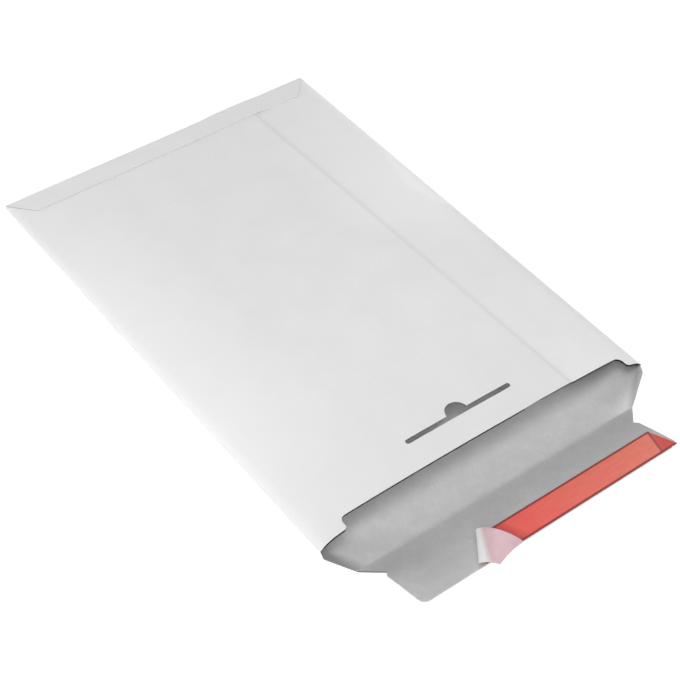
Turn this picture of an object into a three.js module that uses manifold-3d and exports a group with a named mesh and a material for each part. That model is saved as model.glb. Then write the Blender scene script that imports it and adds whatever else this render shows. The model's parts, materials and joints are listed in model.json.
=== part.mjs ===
// Solid-board shipping envelope, lying on its back panel with the mouth standing open, the closing flap
// laid out in front and the liner of its self-adhesive strip peeled back at one end.
// Millimetres, +Z up. The origin is the middle of the back panel's underside and the mouth faces -Y.

import * as THREE from 'three';
import { mergeVertices } from 'three/addons/utils/BufferGeometryUtils.js';
import Module from 'manifold-3d';

const wasm = await Module();
wasm.setup();

// Board and body
const BOARD = 0.6;
const BODY_WIDTH = 246;
const BODY_LENGTH = 362;
const LAYER_GAP = 0.4;
const GLUE_LINE = 0.1;

// How far the pocket stands open at its mouth
const FOLD_RISE = 17;
const MOUTH_RISE = 28;
const MOUTH_PULL_IN = 1;
const SHOULDER_SHARE = 0.65;
const SHOULDER_POWER = 20;
const CROWN_POWER = 2;
const BACK_CURVE_RUN = 72;
const BACK_CURVE_POWER = 5;

// Side seam: the front panel's cut edge lies on a lap that comes round from the right fold
const LAP_SHOWN = 50;
const LAP_HIDDEN = 24;
const LAP_RAMP = 14;

// End flap, folded from the back panel over the front panel
const END_FLAP = 16.5;
const END_MITRE = 14;
const END_INSET = 1.5;

// Mouth edge of the front panel, cut back between two corner tabs
const MOUTH_CUT = 8.5;
const LEFT_TAB = 18;
const RIGHT_TAB = 11.5;
const TAB_RADIUS = 2.5;
const CUT_RADIUS = 4;

// Tuck slot in the front panel, with its thumb notch
const SLOT_FROM_MOUTH = 27.6;
const SLOT_LENGTH = 79.2;
const SLOT_WIDTH = 3.6;
const NOTCH_RADIUS = 7.3;

// Closing flap: apron, hinge crease, sloping band, second crease, end band
const APRON = 13.3;
const CREASE_WIDTH = 211.8;
const HINGE_GAP = 0.6;
const NECK_WIDTH = 189;
const NECK_DISTANCE = 13;
const EAR_WIDTH = 192.4;
const EAR_RUN = 3.5;
const SLOPE_BAND = 26;
const END_BAND = 24.2;
const SLOPE_LIFT = 21.4;
const END_LIFT = 20.1;
const FLAP_TWIST = 2.3;
const FLAP_CORNER_RADIUS = 5;
const TWIST_STRIPS = 12;

// Self-adhesive strip and its liner, on the end band
const ADHESIVE_THICKNESS = 0.2;
const ADHESIVE_WIDTH = 19;
const ADHESIVE_LENGTH = 180;
const ADHESIVE_GAP = 0.1;
const LINER_THICKNESS = 0.15;
const LINER_WIDTH = 22.4;
const LINER_EDGE_INSET = 0.2;
const LINER_END_INSET = 2.2;
const PEEL_FROM_RIGHT_END = 134.3;
const PEEL_OUTER_LENGTH = 47;
const PEEL_INNER_LENGTH = 54;
const PEEL_SLANT = 41.5;
const CURL_OUTER_RADIUS = 4.6;
const CURL_INNER_RADIUS = 7;
const CURL_TURN = 117;
const TAIL_RADIUS = 25;

// Finish
const WHITE_BOARD = new THREE.MeshStandardMaterial({ color: 0xe6e6e6, roughness: 0.55, metalness: 0 });
const GREY_BOARD = new THREE.MeshStandardMaterial({ color: 0xb4b4b6, roughness: 0.85, metalness: 0 });
const CLEAR_ADHESIVE = new THREE.MeshStandardMaterial({ color: 0xc4c2be, roughness: 0.25, metalness: 0 });
const RED_FILM = new THREE.MeshStandardMaterial({ color: 0xd8665e, roughness: 0.35, metalness: 0 });

// Places worked out from the sizes
const MOUTH_Y = -BODY_LENGTH / 2;
const CLOSED_Y = BODY_LENGTH / 2;
const CREASE_Y = MOUTH_Y - APRON;
const FOLD_RADIUS = (BOARD + LAYER_GAP) / 2;
const SEAM_X = BODY_WIDTH / 2 - LAP_SHOWN;
const LAP_EDGE_X = SEAM_X - LAP_HIDDEN;
const LINER_RIGHT_X = EAR_WIDTH / 2 - LINER_END_INSET;
const FLAP_LENGTH = SLOPE_BAND + END_BAND;
const LINER_OUTER = FLAP_LENGTH - LINER_EDGE_INSET;
const LINER_MIDDLE = LINER_OUTER - LINER_WIDTH / 2;
const PEEL_X = LINER_RIGHT_X - PEEL_FROM_RIGHT_END;

const { clamp, degToRad, lerp } = THREE.MathUtils;

// Evenly spaced numbers from a first to a last value
function steps(first, last, count) {
  return Array.from({ length: count + 1 }, (_, i) => lerp(first, last, i / count));
}

// A closed mesh as a solid that can be joined and cut
function solidOf(geometry) {
  const bare = geometry.clone();
  bare.deleteAttribute('normal');
  bare.deleteAttribute('uv');
  const merged = mergeVertices(bare, 1e-5);
  return new wasm.Manifold(new wasm.Mesh({
    numProp: 3,
    vertProperties: Float32Array.from(merged.attributes.position.array),
    triVerts: Uint32Array.from(merged.index.array),
  }));
}

// A solid back as a mesh geometry
function geometryOf(solid) {
  const mesh = solid.getMesh();
  const geometry = new THREE.BufferGeometry();
  geometry.setAttribute('position', new THREE.BufferAttribute(mesh.vertProperties, 3));
  geometry.setIndex(new THREE.BufferAttribute(mesh.triVerts, 1));
  geometry.computeVertexNormals();
  return geometry;
}

// A folded sheet of even thickness. Each grid is a patch of points on the sheet's middle surface, and patches
// join where they share points. Both faces are set off by half the thickness, and every cut edge is closed.
function foldedSheet(grids, thickness) {
  const corners = [];
  for (const rows of grids) {
    for (let i = 0; i + 1 < rows.length; i += 1) {
      for (let j = 0; j + 1 < rows[i].length; j += 1) {
        const [a, b, c, d] = [rows[i][j], rows[i][j + 1], rows[i + 1][j + 1], rows[i + 1][j]];
        corners.push(a, b, c, a, c, d);
      }
    }
  }
  const middle = mergeVertices(new THREE.BufferGeometry().setFromPoints(corners), 1e-4);
  middle.computeVertexNormals();
  const { position, normal } = middle.attributes;
  const faces = Array.from(middle.index.array);
  const layer = (side) => Array.from({ length: position.count }, (_, i) => new THREE.Vector3()
    .fromBufferAttribute(normal, i).multiplyScalar(side * thickness / 2)
    .add(new THREE.Vector3().fromBufferAttribute(position, i)));
  const under = position.count;
  const index = [];
  const edges = new Set();
  for (let i = 0; i < faces.length; i += 3) {
    const [a, b, c] = faces.slice(i, i + 3);
    index.push(a, b, c, under + a, under + c, under + b);
    edges.add(`${a} ${b}`).add(`${b} ${c}`).add(`${c} ${a}`);
  }
  for (const edge of edges) {
    const [a, b] = edge.split(' ').map(Number);
    if (!edges.has(`${b} ${a}`)) index.push(b, a, under + a, b, under + a, under + b);
  }
  const sheet = new THREE.BufferGeometry().setFromPoints([...layer(1), ...layer(-1)]);
  sheet.setIndex(index);
  sheet.computeVertexNormals();
  return sheet;
}

// A plan outline cut straight up between two heights
function plug(shape, bottomZ, topZ) {
  const settings = { depth: topZ - bottomZ, bevelEnabled: false, curveSegments: 10 };
  const geometry = new THREE.ExtrudeGeometry(shape, settings);
  return solidOf(geometry.translate(0, 0, bottomZ));
}

// Share of the full opening at a place along the pocket: none at the closed end, all of it at the mouth
function openness(y) {
  return (CLOSED_Y - y) / BODY_LENGTH;
}

// The side fold's section at a place along the pocket, and where the two panels leave it
function foldAt(y) {
  const open = openness(y);
  const x = BODY_WIDTH / 2 - BOARD / 2 - FOLD_RADIUS - MOUTH_PULL_IN * open;
  const z = lerp(BOARD / 2 + FOLD_RADIUS, FOLD_RISE, open);
  const frontRise = (MOUTH_RISE - FOLD_RISE - FOLD_RADIUS - BOARD / 2) * open;
  const backRise = z - FOLD_RADIUS - BOARD / 2;
  const frontSlope = frontRise * (SHOULDER_SHARE * SHOULDER_POWER + (1 - SHOULDER_SHARE) * CROWN_POWER) / x;
  const backSlope = backRise * BACK_CURVE_POWER / BACK_CURVE_RUN;
  const frontAngle = Math.PI / 2 - Math.atan(frontSlope);
  const backAngle = Math.PI / 2 - Math.atan(backSlope);
  return { x, z, frontRise, frontAngle, backAngle };
}

// Height of the front panel's middle surface, before it steps over the lap
function frontHeight(x, y) {
  const fold = foldAt(y);
  const startX = fold.x + FOLD_RADIUS * Math.cos(fold.frontAngle);
  const startZ = fold.z + FOLD_RADIUS * Math.sin(fold.frontAngle);
  const rest = clamp(Math.abs(x) / startX, 0, 1);
  const shoulder = SHOULDER_SHARE * (1 - rest ** SHOULDER_POWER);
  const crown = (1 - SHOULDER_SHARE) * (1 - rest ** CROWN_POWER);
  return startZ + fold.frontRise * (shoulder + crown);
}

// Height of the front panel where it rides up over the lap
function steppedFrontHeight(x, y) {
  const ramp = clamp((x - LAP_EDGE_X) / LAP_RAMP + 1, 0, 1);
  return frontHeight(x, y) + (BOARD + GLUE_LINE) * ramp;
}

// Height of the back panel's middle surface: flat on the ground, turning up to the side folds
function backHeight(x, y) {
  const fold = foldAt(y);
  const endX = fold.x + FOLD_RADIUS * Math.cos(fold.backAngle);
  const endZ = fold.z - FOLD_RADIUS * Math.sin(fold.backAngle);
  const rest = clamp(1 - (endX - Math.abs(x)) / BACK_CURVE_RUN, 0, 1);
  return BOARD / 2 + (endZ - BOARD / 2) * rest ** BACK_CURVE_POWER;
}

// Places across the back panel, from its right side fold to its left one, close together where it curves and
// with a line under each edge of the seam
function backPlaces(y) {
  const fold = foldAt(y);
  const endX = fold.x + FOLD_RADIUS * Math.cos(fold.backAngle);
  const curve = (innerX, count) => steps(0, 1, count).map((run) => lerp(endX, innerX, run ** 1.6));
  const right = curve(SEAM_X + LAP_RAMP, 7);
  const seam = [SEAM_X + BOARD, SEAM_X, LAP_EDGE_X, LAP_EDGE_X - LAP_RAMP];
  const left = curve(endX - BACK_CURVE_RUN, 9).map((x) => -x).reverse();
  return [...right, ...seam, ...left];
}

// Points round one side fold: side is +1 for the right fold and -1 for the left one
function foldPoints(y, side) {
  const fold = foldAt(y);
  const angles = steps(-fold.backAngle, fold.frontAngle, 6).slice(1, -1);
  return angles.map((angle) => new THREE.Vector3(
    side * (fold.x + FOLD_RADIUS * Math.cos(angle)), y, fold.z + FOLD_RADIUS * Math.sin(angle)));
}

// Points of a front layer, from its side fold to its cut edge
function frontPoints(y, side, places, height) {
  const fold = foldAt(y);
  const startX = side * (fold.x + FOLD_RADIUS * Math.cos(fold.frontAngle));
  const shoulder = steps(0, 1, 12).map((run) => lerp(startX, places[0], run ** 2));
  return [...shoulder, ...places.slice(1)].map((x) => new THREE.Vector3(x, y, height(x, y)));
}

// The back panel's points in one row
function backPoints(y) {
  return backPlaces(y).map((x) => new THREE.Vector3(x, y, backHeight(x, y)));
}

// The board's whole section at a place along the pocket: lap, right fold, back panel, left fold, front panel
function section(y) {
  const lap = frontPoints(y, 1, [LAP_EDGE_X], frontHeight).reverse();
  const front = frontPoints(y, -1, [LAP_EDGE_X - LAP_RAMP, LAP_EDGE_X, SEAM_X], steppedFrontHeight);
  return [...lap, ...foldPoints(y, 1).reverse(), ...backPoints(y), ...foldPoints(y, -1), ...front];
}

// Height at which the end flap lies on the front panel, and beyond the seam on the lap
function endFlapHeight(x, y) {
  const onPanel = steppedFrontHeight(Math.min(x, SEAM_X), y);
  const down = clamp((x - SEAM_X - BOARD) / (LAP_RAMP - BOARD), 0, 1);
  return lerp(onPanel, frontHeight(x, y), down) + BOARD + GLUE_LINE;
}

// End flap: from the back panel, round the closed end and over the front panel, with mitred ends
function endFlap() {
  const places = backPlaces(CLOSED_Y);
  const half = places[0];
  const core = half - END_MITRE - END_INSET;
  const narrowed = (x, inset) => Math.sign(x) * (Math.abs(x) <= core ? Math.abs(x)
    : core + (Math.abs(x) - core) * (half - core - inset) / (half - core));
  const rows = [backPoints(CLOSED_Y)];
  for (const angle of steps(-90, 90, 6).slice(1)) {
    const turn = degToRad(angle);
    rows.push(places.map((x) => {
      const radius = (endFlapHeight(x, CLOSED_Y) - BOARD / 2) / 2;
      const z = BOARD / 2 + radius * (1 + Math.sin(turn));
      return new THREE.Vector3(x, CLOSED_Y + radius * Math.cos(turn), z);
    }));
  }
  for (const share of steps(0, 1, 2).slice(1)) {
    const y = CLOSED_Y - END_FLAP * share;
    rows.push(places.map((place) => {
      const x = narrowed(place, END_MITRE * share);
      return new THREE.Vector3(x, y, endFlapHeight(x, y));
    }));
  }
  return rows;
}

// Apron: the back panel's end beyond the mouth, narrowing and flattening to the hinge crease
function apron() {
  const mouthRow = backPoints(MOUTH_Y);
  const narrowing = CREASE_WIDTH / 2 / mouthRow[0].x;
  const edgeY = CREASE_Y + HINGE_GAP / 2;
  const creaseRow = mouthRow.map((point) => new THREE.Vector3(point.x * narrowing, edgeY, BOARD / 2));
  return steps(1, 0, 8).map((run) => mouthRow.map((point, j) => point.clone().lerp(creaseRow[j], run)));
}

// Plan of the cut at the mouth: the front panel set back between two corner tabs
function mouthCut() {
  const foldX = foldAt(MOUTH_Y).x;
  const leftX = LEFT_TAB - foldX;
  const rightX = foldX - RIGHT_TAB;
  const frontY = MOUTH_Y - APRON / 2;
  const backY = MOUTH_Y + MOUTH_CUT;
  const quarter = Math.PI / 2;
  const shape = new THREE.Shape();
  shape.moveTo(leftX - TAB_RADIUS, frontY);
  shape.lineTo(rightX + TAB_RADIUS, frontY);
  shape.lineTo(rightX + TAB_RADIUS, MOUTH_Y);
  shape.absarc(rightX + TAB_RADIUS, MOUTH_Y + TAB_RADIUS, TAB_RADIUS, -quarter, -2 * quarter, true);
  shape.lineTo(rightX, backY - CUT_RADIUS);
  shape.absarc(rightX - CUT_RADIUS, backY - CUT_RADIUS, CUT_RADIUS, 0, quarter, false);
  shape.lineTo(leftX + CUT_RADIUS, backY);
  shape.absarc(leftX + CUT_RADIUS, backY - CUT_RADIUS, CUT_RADIUS, quarter, 2 * quarter, false);
  shape.lineTo(leftX, MOUTH_Y + TAB_RADIUS);
  shape.absarc(leftX - TAB_RADIUS, MOUTH_Y + TAB_RADIUS, TAB_RADIUS, 0, -quarter, true);
  shape.closePath();
  return plug(shape, FOLD_RISE + BOARD, MOUTH_RISE * 2);
}

// Plan of the tuck slot: round ends, and a half-round thumb notch on the closed-end side
function slotCut() {
  const radius = SLOT_WIDTH / 2;
  const y = MOUTH_Y + SLOT_FROM_MOUTH + radius;
  const half = SLOT_LENGTH / 2 - radius;
  const shape = new THREE.Shape();
  shape.moveTo(-half, y - radius);
  shape.lineTo(half, y - radius);
  shape.absarc(half, y, radius, -Math.PI / 2, Math.PI / 2, false);
  shape.lineTo(NOTCH_RADIUS, y + radius);
  shape.absarc(0, y + radius, NOTCH_RADIUS, 0, Math.PI, false);
  shape.lineTo(-half, y + radius);
  shape.absarc(-half, y, radius, Math.PI / 2, 1.5 * Math.PI, false);
  shape.closePath();
  return plug(shape, frontHeight(0, y) / 2, MOUTH_RISE * 2);
}

// The whole pocket as one folded board, with its mouth edge and tuck slot cut out
function boardPocket() {
  const body = steps(MOUTH_Y, CLOSED_Y, 6).map(section);
  const folded = solidOf(foldedSheet([body, endFlap(), apron()], BOARD));
  return geometryOf(folded.subtract(mouthCut()).subtract(slotCut()));
}

// A place on the closing flap, in the hinge's own frame with the crease along X: how far along the crease, how
// far out along the board and how far off the board's upper face. The flap lies slightly twisted.
function onFlap(x, distance, off) {
  const twist = FLAP_TWIST * x / EAR_WIDTH;
  const slope = degToRad(SLOPE_LIFT + twist);
  const end = degToRad(END_LIFT + twist);
  const inner = Math.min(distance, SLOPE_BAND);
  const outer = Math.max(distance - SLOPE_BAND, 0);
  const lift = outer > 0 ? end : slope;
  const out = inner * Math.cos(slope) + outer * Math.cos(end) - off * Math.sin(lift);
  const up = inner * Math.sin(slope) + outer * Math.sin(end) + off * Math.cos(lift);
  return new THREE.Vector3(x, -out, up);
}

// Closing flap, from the hinge crease outward: the neck, the ears and the rounded outer corners
function closingFlap() {
  const ear = EAR_WIDTH / 2;
  const outline = [
    [HINGE_GAP / 2, CREASE_WIDTH / 2],
    [NECK_DISTANCE, NECK_WIDTH / 2],
    [NECK_DISTANCE + EAR_RUN, ear],
    [SLOPE_BAND, ear],
    [SLOPE_BAND + END_BAND / 2, ear],
  ];
  for (const angle of steps(0, 90, 5)) {
    const turn = degToRad(angle);
    const distance = FLAP_LENGTH - FLAP_CORNER_RADIUS * (1 - Math.sin(turn));
    outline.push([distance, ear - FLAP_CORNER_RADIUS * (1 - Math.cos(turn))]);
  }
  const rows = outline.map(([distance, half]) => steps(-half, half, TWIST_STRIPS)
    .map((x) => onFlap(x, distance, -BOARD / 2)));
  return foldedSheet([rows], BOARD);
}

// Adhesive strip, flat on the flap's end band
function adhesiveStrip() {
  const rightX = LINER_RIGHT_X - (LINER_WIDTH - ADHESIVE_WIDTH) / 2;
  const off = ADHESIVE_GAP + ADHESIVE_THICKNESS / 2;
  const across = steps(LINER_MIDDLE - ADHESIVE_WIDTH / 2, LINER_MIDDLE + ADHESIVE_WIDTH / 2, 2);
  const rows = across.map((distance) => steps(rightX - ADHESIVE_LENGTH, rightX, TWIST_STRIPS)
    .map((x) => onFlap(x, distance, off)));
  return foldedSheet([rows], ADHESIVE_THICKNESS);
}

// A size that changes evenly across the film, from the flap's outer edge inward
function acrossFilm(distance, outer, inner) {
  return lerp(outer, inner, (LINER_OUTER - distance) / LINER_WIDTH);
}

// Where a line lies on the flat film that runs beside the slanted peel line, a path's length further on
function besidePeelLine(distance, path) {
  const slant = degToRad(PEEL_SLANT);
  return PEEL_X + ((LINER_MIDDLE - distance) * Math.sin(slant) - path) / Math.cos(slant);
}

// Radius of the film's curl, tighter towards the flap's outer edge
function curlRadius(distance) {
  return acrossFilm(distance, CURL_OUTER_RADIUS, CURL_INNER_RADIUS);
}

// How far ahead and how high the peeled film gets along its path: a tight curl, then a tail that bends gently
function curlPlace(path, radius) {
  const curlTurn = degToRad(CURL_TURN);
  const turn = Math.min(path / radius, curlTurn);
  const tailTurn = turn + Math.max(path - radius * curlTurn, 0) / TAIL_RADIUS;
  const ahead = radius * Math.sin(turn) + TAIL_RADIUS * (Math.sin(tailTurn) - Math.sin(turn));
  const height = radius * (1 - Math.cos(turn)) + TAIL_RADIUS * (Math.cos(turn) - Math.cos(tailTurn));
  return { ahead, height };
}

// A point of the liner, given where it lay on the flat strip: past the slanted peel line the film turns over
function linerPoint(x, distance) {
  const slant = degToRad(PEEL_SLANT);
  const off = 2 * ADHESIVE_GAP + ADHESIVE_THICKNESS + LINER_THICKNESS / 2;
  const path = (PEEL_X - x) * Math.cos(slant) + (LINER_MIDDLE - distance) * Math.sin(slant);
  if (path <= 0) return onFlap(x, distance, off);
  const { ahead, height } = curlPlace(path, curlRadius(distance));
  const moved = ahead - path;
  return onFlap(x - moved * Math.cos(slant), distance - moved * Math.sin(slant), off + height);
}

// Release liner: flat on the adhesive, with its left end peeled and turned over on a slant
function releaseLiner() {
  const endX = (distance) => PEEL_X - acrossFilm(distance, PEEL_OUTER_LENGTH, PEEL_INNER_LENGTH);
  const curlX = (d, share) => besidePeelLine(d, curlRadius(d) * degToRad(CURL_TURN) * share);
  const flat = steps(0, 1, 6).map((run) => (d) => lerp(LINER_RIGHT_X, curlX(d, 0), run));
  const curl = steps(0, 1, 12).slice(1).map((run) => (d) => curlX(d, run));
  const tail = steps(0, 1, 6).slice(1).map((run) => (d) => lerp(curlX(d, 1), endX(d), run));
  const across = steps(LINER_OUTER, LINER_OUTER - LINER_WIDTH, 5);
  const rows = [...flat, ...curl, ...tail].map((place) => across.map((d) => linerPoint(place(d), d)));
  return foldedSheet([rows], LINER_THICKNESS);
}

// The assembly: the pocket, and the flap on its hinge crease with the strip and its liner
function part(name, geometry, material) {
  const mesh = new THREE.Mesh(geometry, material);
  mesh.name = name;
  return mesh;
}

const flap = new THREE.Group();
flap.position.set(0, CREASE_Y, BOARD);
flap.add(part('closing_flap', closingFlap(), GREY_BOARD));
flap.add(part('adhesive_strip', adhesiveStrip(), CLEAR_ADHESIVE));
flap.add(part('release_liner', releaseLiner(), RED_FILM));

const envelope = new THREE.Group();
envelope.add(part('board_pocket', boardPocket(), WHITE_BOARD));
envelope.add(flap);

export default envelope;
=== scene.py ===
import json
import math

import bpy
import numpy as np
from mathutils import Matrix, Vector


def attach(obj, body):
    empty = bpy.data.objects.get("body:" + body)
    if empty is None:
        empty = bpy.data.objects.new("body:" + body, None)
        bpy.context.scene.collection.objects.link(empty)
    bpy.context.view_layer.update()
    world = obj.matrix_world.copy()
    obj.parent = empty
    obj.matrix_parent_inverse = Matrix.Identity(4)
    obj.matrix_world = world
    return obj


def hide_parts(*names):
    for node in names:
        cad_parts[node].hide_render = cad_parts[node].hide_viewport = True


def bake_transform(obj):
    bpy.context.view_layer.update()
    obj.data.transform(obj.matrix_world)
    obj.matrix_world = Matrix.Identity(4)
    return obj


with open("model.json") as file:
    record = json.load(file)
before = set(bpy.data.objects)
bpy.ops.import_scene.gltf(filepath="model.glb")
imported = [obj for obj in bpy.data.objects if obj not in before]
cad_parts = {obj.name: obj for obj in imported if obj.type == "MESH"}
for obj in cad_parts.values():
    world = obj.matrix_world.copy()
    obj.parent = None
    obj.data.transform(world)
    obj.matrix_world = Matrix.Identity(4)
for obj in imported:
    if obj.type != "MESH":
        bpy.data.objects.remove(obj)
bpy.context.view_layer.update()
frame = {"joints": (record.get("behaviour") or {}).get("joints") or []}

# Solid-board shipping envelope, dressed: one folded board that is white outside and grey inside, its
# self-adhesive strip, and the red liner film with its peeled end. Sizes are in millimetres.
MM = 0.001

# Board and body
BOARD = 0.6
BODY_WIDTH = 246
BODY_LENGTH = 362
LAYER_GAP = 0.4
GLUE_LINE = 0.1
FOLD_RISE = 17
MOUTH_RISE = 28
MOUTH_PULL_IN = 1
SHOULDER_SHARE = 0.65
SHOULDER_POWER = 20
CROWN_POWER = 2
BACK_CURVE_RUN = 72
BACK_CURVE_POWER = 5

# Side seam, end flap, mouth edge and tuck slot
LAP_SHOWN = 52.1
LAP_HIDDEN = 24
LAP_RAMP = 14
END_FLAP = 16.5
END_MITRE = 14
END_INSET = 1.5
MOUTH_CUT = 8.5
LEFT_TAB = 18
RIGHT_TAB = 11.5
TAB_RADIUS = 2.5
CUT_RADIUS = 4
EDGE_LIP = 0.9
EDGE_LIP_RUN = 1.5
EDGE_LIP_ABOVE_FOLD = 2
SLOT_FROM_MOUTH = 27.6
SLOT_LENGTH = 79.2
SLOT_WIDTH = 3.6
NOTCH_RADIUS = 7.3

# Closing flap
APRON = 13.3
APRON_STRAIGHT = 3
CREASE_WIDTH = 211.8
NECK_WIDTH = 189
NECK_DISTANCE = 13
EAR_WIDTH = 192.4
EAR_RUN = 3.5
SLOPE_BAND = 26
END_BAND = 24.2
SLOPE_LIFT = math.radians(21.4)
END_LIFT = math.radians(20.1)
FLAP_TWIST = math.radians(2.3)
FLAP_CORNER_RADIUS = 5
CREASE_SOFTNESS = 7
END_CREASE_SOFTNESS = 4

# Adhesive strip and liner film
ADHESIVE_THICKNESS = 0.2
ADHESIVE_WIDTH = 19
ADHESIVE_LENGTH = 180
ADHESIVE_GAP = 0.1
ADHESIVE_FILM = 0.05
LINER_THICKNESS = 0.15
LINER_WIDTH = 22.4
LINER_EDGE_INSET = 0.2
LINER_END_INSET = 2.2
LINER_END_OUT = 1
LINER_END_BACK = 1.8
PEEL_FROM_RIGHT_END = 134.3
PEEL_OUTER_LENGTH = 47
PEEL_INNER_LENGTH = 54
PEEL_SLANT = math.radians(41.5)
CURL_OUTER_RADIUS = 4.6
CURL_INNER_RADIUS = 7
CURL_TURN = math.radians(117)
TAIL_RADIUS = 25

# Painted light and shade on the board: shade by the seam and mouth, highlights by the folds, light inside
SEAM_LINE = 3
SHOULDER_HIGHLIGHT = 75
SHOULDER_HIGHLIGHT_EVEN = 72.4
FOLD_HIGHLIGHT = 6
RIGHT_FADE = 10
RIGHT_HIGHLIGHT_WIDENING = 10
RIGHT_HIGHLIGHT_WIDEST_Y = 36
RIGHT_HIGHLIGHT_WIDENING_RUN = 45
MOUTH_SHADE_RUN = 95
INSIDE_LIGHT_START = 10
INSIDE_LIGHT_RUN = 35
SIDE_SHADE = 13
RIGHT_SHADE_INSET = 5
RIGHT_SHADE_TAPER = 2
LEFT_SHADE_TAPER = 5
FAR = 1000

# Film marks: painted shade by the end crease, dark rims, painted shadow by and on the curl, painted curl
# highlight
END_CREASE = 11.6
END_CREASE_SLANT = 0.4
END_CREASE_RUN = 3
END_MARK = 0.8
END_MARK_CORE = 0.2
END_MARK_EDGE = 1.6
RIM_START = 2.2
RIM_FULL = 1.0
CURL_SHADE_X = -36
CURL_SHADE_SLANT = 0.236
CURL_SHADE = 8
PEEL_SHADE_START = 0.5
PEEL_SHADE_FULL = 2.5
CURL_HIGHLIGHT_END = 17
CURL_HIGHLIGHT_FADED = 23

# Colours, as linear red, green and blue; an edge has a darker and a lighter one
WHITE_BOARD = (0.854, 0.854, 0.860)
WHITE_CLOUD = (0.824, 0.825, 0.835)
WHITE_GRAIN = (0.790, 0.790, 0.799)
# Painted shade by the mouth, painted highlight by the side folds, painted shade along the seam
WHITE_MOUTH_SHADE = (0.68, 0.68, 0.685)
WHITE_FOLD_HIGHLIGHT = (0.97, 0.97, 0.975)
SEAM_SHADE = (0.42, 0.42, 0.425)
GREY_BOARD = (0.60, 0.60, 0.608)
GREY_CLOUD = (0.54, 0.54, 0.55)
GREY_FIBRE = (0.475, 0.475, 0.483)
# Painted light on the grey inside, deeper in the pocket
GREY_PAINTED_LIGHT = (0.78, 0.78, 0.785)
DARK_SPECK = (0.30, 0.295, 0.295)
LIGHT_SPECK = (0.74, 0.735, 0.73)
# Painted shade by the inside's side edges and the mouth's corners
CORNER_SHADE = (0.05, 0.05, 0.052)
CUT_EDGE_COLOURS = ((0.72, 0.72, 0.725), (0.82, 0.82, 0.825))
# Slot and mouth edges near black: painted shade
SLOT_EDGE_SHADE_COLOURS = ((0.05, 0.05, 0.051), (0.09, 0.09, 0.092))
MOUTH_EDGE_SHADE_COLOURS = ((0.018, 0.018, 0.018), (0.035, 0.035, 0.036))
END_EDGE_COLOURS = ((0.57, 0.57, 0.575), (0.64, 0.64, 0.645))
RED_FILM = (0.93, 0.10, 0.09)
# Lighter towards the film's right end: its print and a painted sheen
RED_PRINT_AND_SHEEN = (0.88, 0.27, 0.19)
RED_CLOUD = (0.86, 0.22, 0.17)
RED_STREAK = (0.80, 0.08, 0.065)
# Painted shade on the film's end beyond its crease and along the crease; dark rims, and painted shadow by
# the curl
RED_END_SHADE = (0.62, 0.03, 0.025)
RED_CREASE_SHADE = (0.24, 0.02, 0.02)
RED_RIM_AND_SHADOW = (0.26, 0.02, 0.02)
# Painted shade on the peeled end's red face
PEELED_FRONT_SHADE = (0.45, 0.34, 0.345)
PINK_FILM = (0.68, 0.45, 0.50)
PINK_CLOUD = (0.76, 0.60, 0.60)
# Painted highlight along the curl
WHITE_CURL_HIGHLIGHT = (0.97, 0.96, 0.955)
FILM_EDGE_COLOURS = ((0.42, 0.06, 0.06), (0.52, 0.09, 0.08))
ADHESIVE_COLOURS = ((0.475, 0.475, 0.478), (0.515, 0.515, 0.517))

# Shader settings that several materials share
PLAIN_SPECULAR = 0.5
CORE_SPECULAR = 0.15
NOISE_LOW = 0.3
NOISE_HIGH = 0.7
COARSE_SHARE = 0.7

# Materials of a sheet's faces by number: its two sides, its cut edges, the board's slot and mouth edges in
# painted shade, and its end flap's grey edge
OUTSIDE = 0
INSIDE = 1
CUT_EDGE = 2
SLOT_EDGE = 3
MOUTH_EDGE = 4
END_EDGE = 5

# Steps of the meshes, and powers that crowd them towards the folds
BACK_CURVE_STEPS = 36
BACK_CROWDING = 1.4
BACK_MIDDLE_STEPS = 24
FOLD_STEPS = 10
LAP_STEPS = 36
LAP_CROWDING = 2
FRONT_STEPS = 60
FRONT_CROWDING = 1.8
SEAM_STEPS = 8
TAB_STEPS = 2
LIP_STEPS = 4
LENGTH_STEPS = 90
END_FOLD_STEPS = 12
END_FLAP_STEPS = 8
CREASE_RUN = 2
CREASE_STEPS = 20
NECK_STEPS = 8
BAND_STEPS = 16
APRON_STEPS = 12
FLAP_LINE_STEP = 0.05
CORNER_STEPS = 10
ARC_STEPS = 12
NOTCH_STEPS = 32
LINER_STEPS = 240
LINER_STEPS_ACROSS = 24
ADHESIVE_STEPS = 80
ADHESIVE_STEPS_ACROSS = 10
WELD_DECIMALS = 3
DISTANCE_DECIMALS = 6
SHARP_ANGLE = math.radians(40)

# Camera, found from the photograph
IMAGE_SIZE = 680
SENSOR = 36
FOCAL_PIXELS = 1678
CAMERA_AIM = Vector((-0.5, -35.7, -13.9)) * MM
CAMERA_DISTANCE = 1084.1 * MM
CAMERA_AZIMUTH = math.radians(-38.10)
CAMERA_ELEVATION = math.radians(47.365)
CAMERA_ROLL = math.radians(2.405)
CLIP_START = 50 * MM
CLIP_END = 20000 * MM

# Studio, in metres: square lamps round the part, each given by azimuth, elevation and watts, then the floor
LAMP_SIZE = 0.9
LAMP_DISTANCE = 2.0
LAMPS = {
    "key": (-45, 42, 10.8),
    "top": (-45, 68, 18.3),
    "front_right": (45, 18, 23.5),
    "back_left": (-135, 18, 12.2),
    "back": (180, 18, 5.5),
}
AMBIENT = 0.03
FLOOR_HALF = 3.0
FLOOR_HEIGHT = -0.0002
FLOOR_PLAIN = 0.8
FLOOR_GLOW = 0.85
FLOOR_SHADE = 0.25
FLOOR_NEAR = 0.5
FLOOR_FAR = 1.2

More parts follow.
